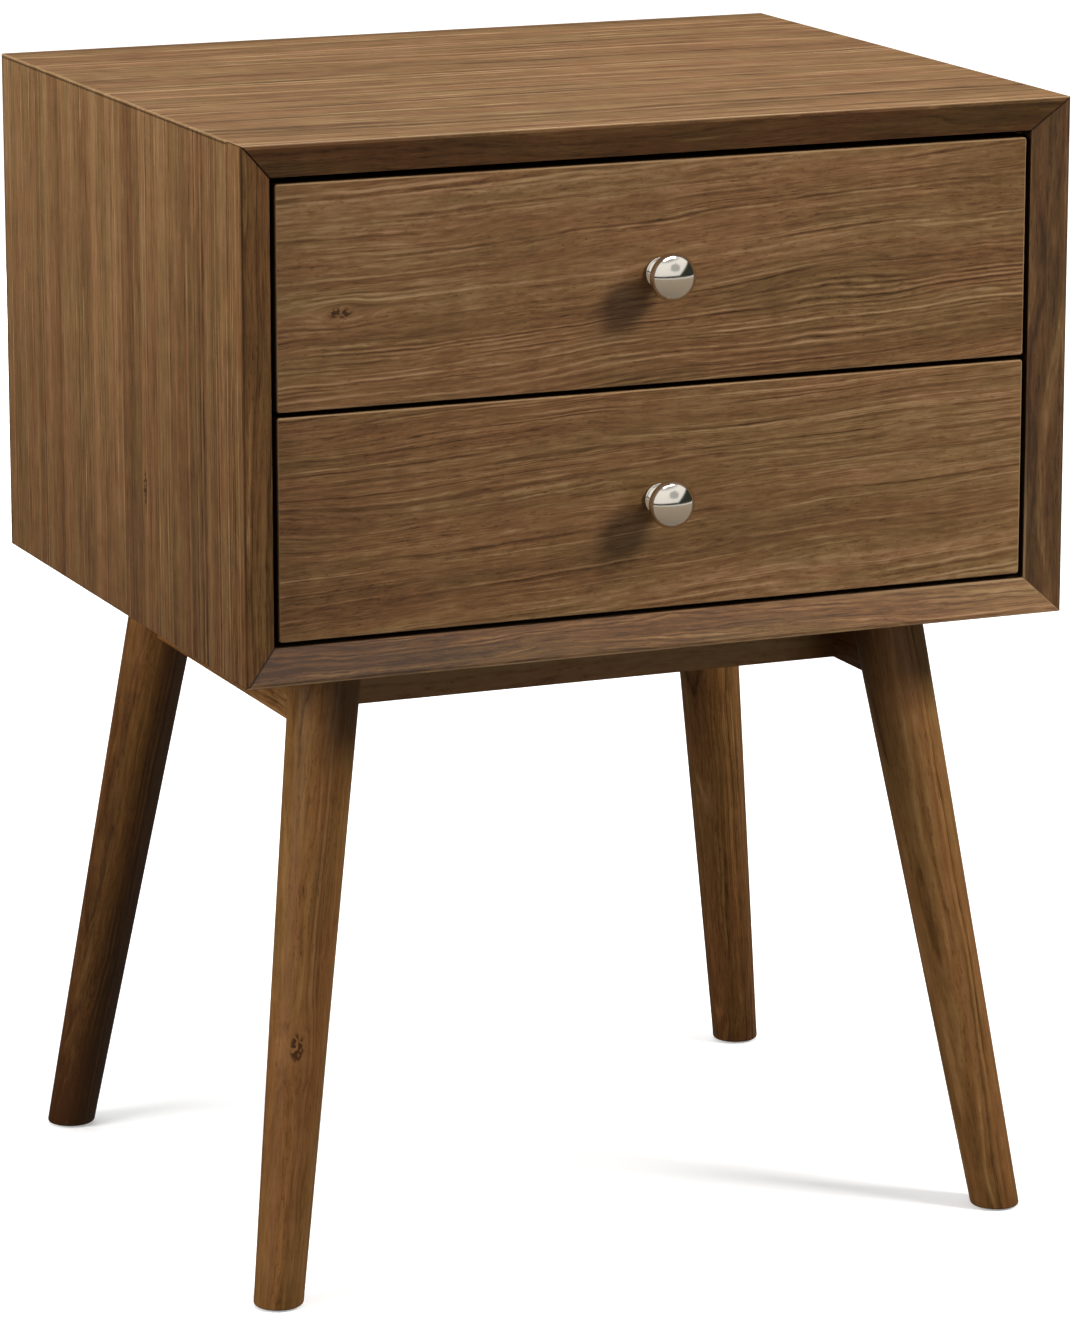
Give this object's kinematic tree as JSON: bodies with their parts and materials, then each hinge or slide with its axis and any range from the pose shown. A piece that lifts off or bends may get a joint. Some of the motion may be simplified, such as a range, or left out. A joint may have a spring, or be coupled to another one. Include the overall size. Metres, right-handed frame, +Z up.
{
  "type": "nightstand",
  "caption": "Walnut nightstand with stacked drawers in a bevelled mitred case, on a low underframe with splayed, tapered round legs.",
  "frame": {"origin": "on the floor, under the middle of the whole object, knobs included", "axes": "+X to the right seen from the front, +Y from the drawer fronts to the back, +Z up"},
  "size_m": [0.46, 0.3956, 0.61],
  "materials": {
    "walnut_veneer": "walnut veneer, satin lacquer",
    "drawer_veneer": "walnut veneer with lively grain, satin lacquer",
    "solid_walnut": "solid walnut, satin lacquer",
    "turned_walnut": "turned solid wood stained walnut, satin lacquer",
    "back_board": "thin board with a walnut face, matt",
    "drawer_wood": "pale hardwood, clear lacquer",
    "drawer_ply": "pale plywood, clear lacquer",
    "nickel": "polished nickel",
    "zinc_steel": "zinc-plated rolled steel",
    "screw_steel": "zinc-plated screws",
    "glide_nylon": "dark brown nylon"
  },
  "bodies": {
    "case": {"top_panel": "walnut_veneer", "bottom_panel": "walnut_veneer", "left_side_panel": "walnut_veneer", "right_side_panel": "walnut_veneer", "back_panel": "back_board", "back_panel_screws": "screw_steel", "top_front_moulding": "solid_walnut", "bottom_front_moulding": "solid_walnut", "left_front_moulding": "solid_walnut", "right_front_moulding": "solid_walnut", "left_side_rail": "solid_walnut", "right_side_rail": "solid_walnut", "front_rail": "solid_walnut", "back_rail": "solid_walnut", "rail_dowels": "drawer_wood", "base_screws": "screw_steel", "front_left_leg": "turned_walnut", "front_right_leg": "turned_walnut", "back_left_leg": "turned_walnut", "back_right_leg": "turned_walnut", "foot_glides": "glide_nylon", "cabinet_runner_screws": "screw_steel", "upper_left_cabinet_member": "zinc_steel", "upper_right_cabinet_member": "zinc_steel", "lower_left_cabinet_member": "zinc_steel", "lower_right_cabinet_member": "zinc_steel"},
    "upper_drawer": {"upper_drawer_front": "drawer_veneer", "upper_knob": "nickel", "upper_knob_screw": "screw_steel", "upper_front_screws": "screw_steel", "upper_box_front": "drawer_wood", "upper_box_back": "drawer_wood", "upper_box_left_side": "drawer_wood", "upper_box_right_side": "drawer_wood", "upper_box_bottom": "drawer_ply", "upper_left_drawer_member": "zinc_steel", "upper_right_drawer_member": "zinc_steel", "upper_runner_screws": "screw_steel"},
    "upper_ball_cages": {"upper_left_ball_cage": "zinc_steel", "upper_right_ball_cage": "zinc_steel"},
    "lower_drawer": {"lower_drawer_front": "drawer_veneer", "lower_knob": "nickel", "lower_knob_screw": "screw_steel", "lower_front_screws": "screw_steel", "lower_box_front": "drawer_wood", "lower_box_back": "drawer_wood", "lower_box_left_side": "drawer_wood", "lower_box_right_side": "drawer_wood", "lower_box_bottom": "drawer_ply", "lower_left_drawer_member": "zinc_steel", "lower_right_drawer_member": "zinc_steel", "lower_runner_screws": "screw_steel"},
    "lower_ball_cages": {"lower_left_ball_cage": "zinc_steel", "lower_right_ball_cage": "zinc_steel"}
  },
  "joints": [
    {"name": "upper_drawer_slide", "type": "slide", "parent": "case", "child": "upper_drawer", "axis": [0, -1, 0], "range_m": [0, 0.225]},
    {"name": "upper_ball_cage_roll", "type": "slide", "parent": "case", "child": "upper_ball_cages", "axis": [0, -1, 0], "range_m": [0, 0.1125]},
    {"name": "lower_drawer_slide", "type": "slide", "parent": "case", "child": "lower_drawer", "axis": [0, -1, 0], "range_m": [0, 0.225]},
    {"name": "lower_ball_cage_roll", "type": "slide", "parent": "case", "child": "lower_ball_cages", "axis": [0, -1, 0], "range_m": [0, 0.1125]}
  ],
  "couplings": [
    {"joint": "upper_ball_cage_roll", "follows": "upper_drawer_slide", "ratio": 0.5},
    {"joint": "lower_ball_cage_roll", "follows": "lower_drawer_slide", "ratio": 0.5}
  ]
}
